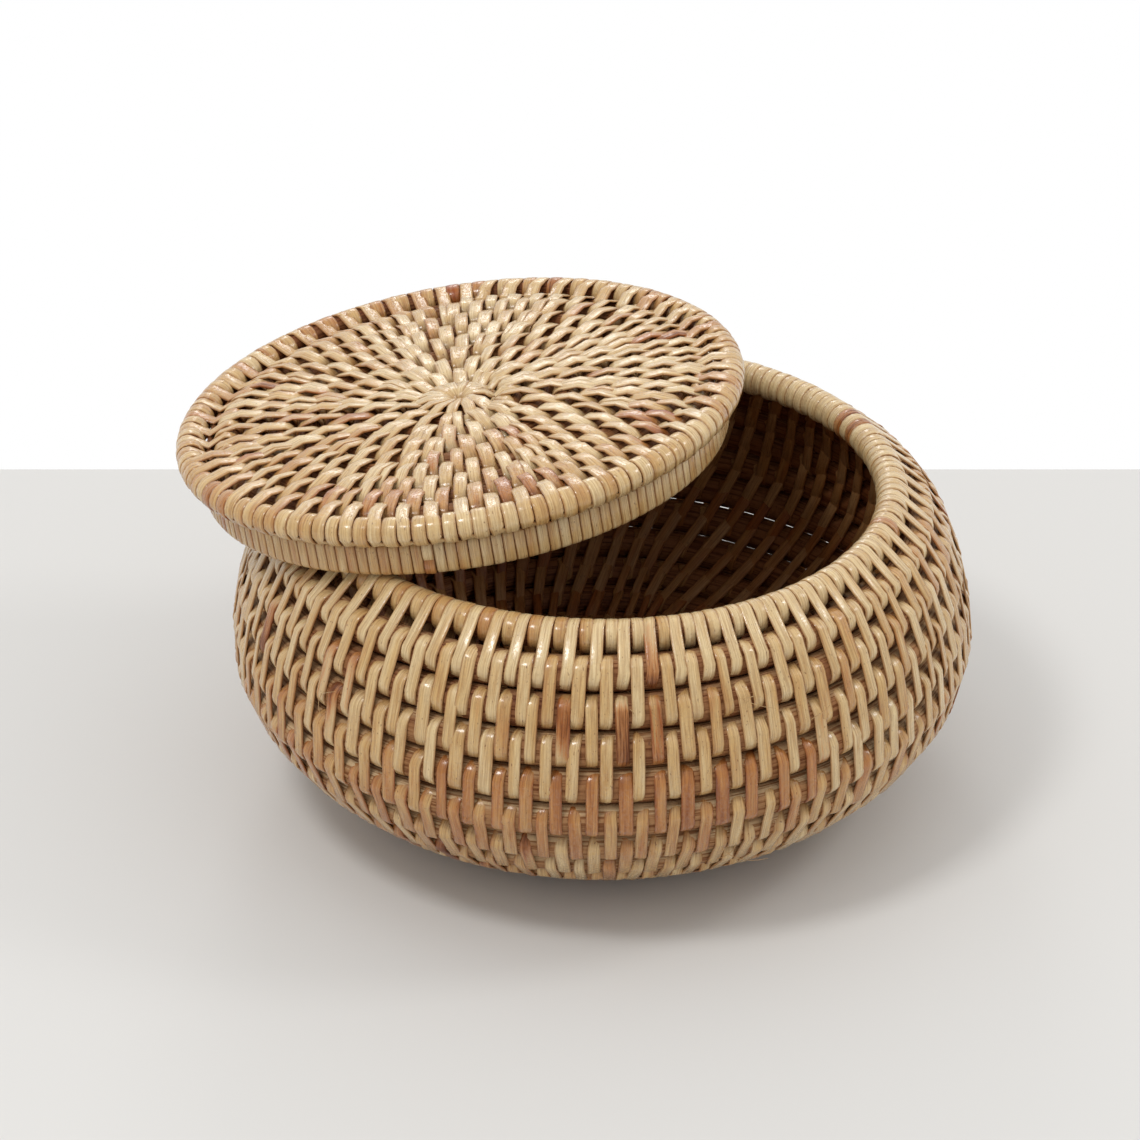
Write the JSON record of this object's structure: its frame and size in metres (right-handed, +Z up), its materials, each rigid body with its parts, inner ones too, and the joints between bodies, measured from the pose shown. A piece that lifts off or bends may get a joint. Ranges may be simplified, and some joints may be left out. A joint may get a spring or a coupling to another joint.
{
  "type": "coiled rattan lidded box",
  "caption": "Round coiled rattan bowl with a loose flat lid lying ajar on its mouth; wound rims and an upright collar under the lid that drops into the mouth.",
  "frame": {"origin": "middle of the bowl's flat underside, on the bowl's axis", "axes": "+Z up along the bowl's axis, +X to the right in the picture, +Y away from the viewer; the lid is shifted towards -X"},
  "size_m": [0.2137, 0.2001, 0.1186],
  "materials": {
    "rod": "peeled rattan rod, satin",
    "cane": "split rattan cane, varnished"
  },
  "bodies": {
    "bowl": {"base_knot": "cane", "base_coil": "rod", "wall_coil_1": "rod", "wall_coil_2": "rod", "wall_coil_3": "rod", "wall_coil_4": "rod", "wall_coil_5": "rod", "wall_coil_6": "rod", "mouth_rim_rod": "rod", "mouth_rim_binding": "cane"},
    "lid": {"lid_knot": "cane", "lid_coil": "rod", "lid_rim_rod": "rod", "lid_rim_binding": "cane", "collar_hoop": "rod", "collar_binding": "cane"}
  },
  "joints": [
    {"name": "lid_lift", "type": "slide", "parent": "bowl", "child": "lid", "axis": [0, 0, 1], "range_m": [0, 0.12]}
  ]
}
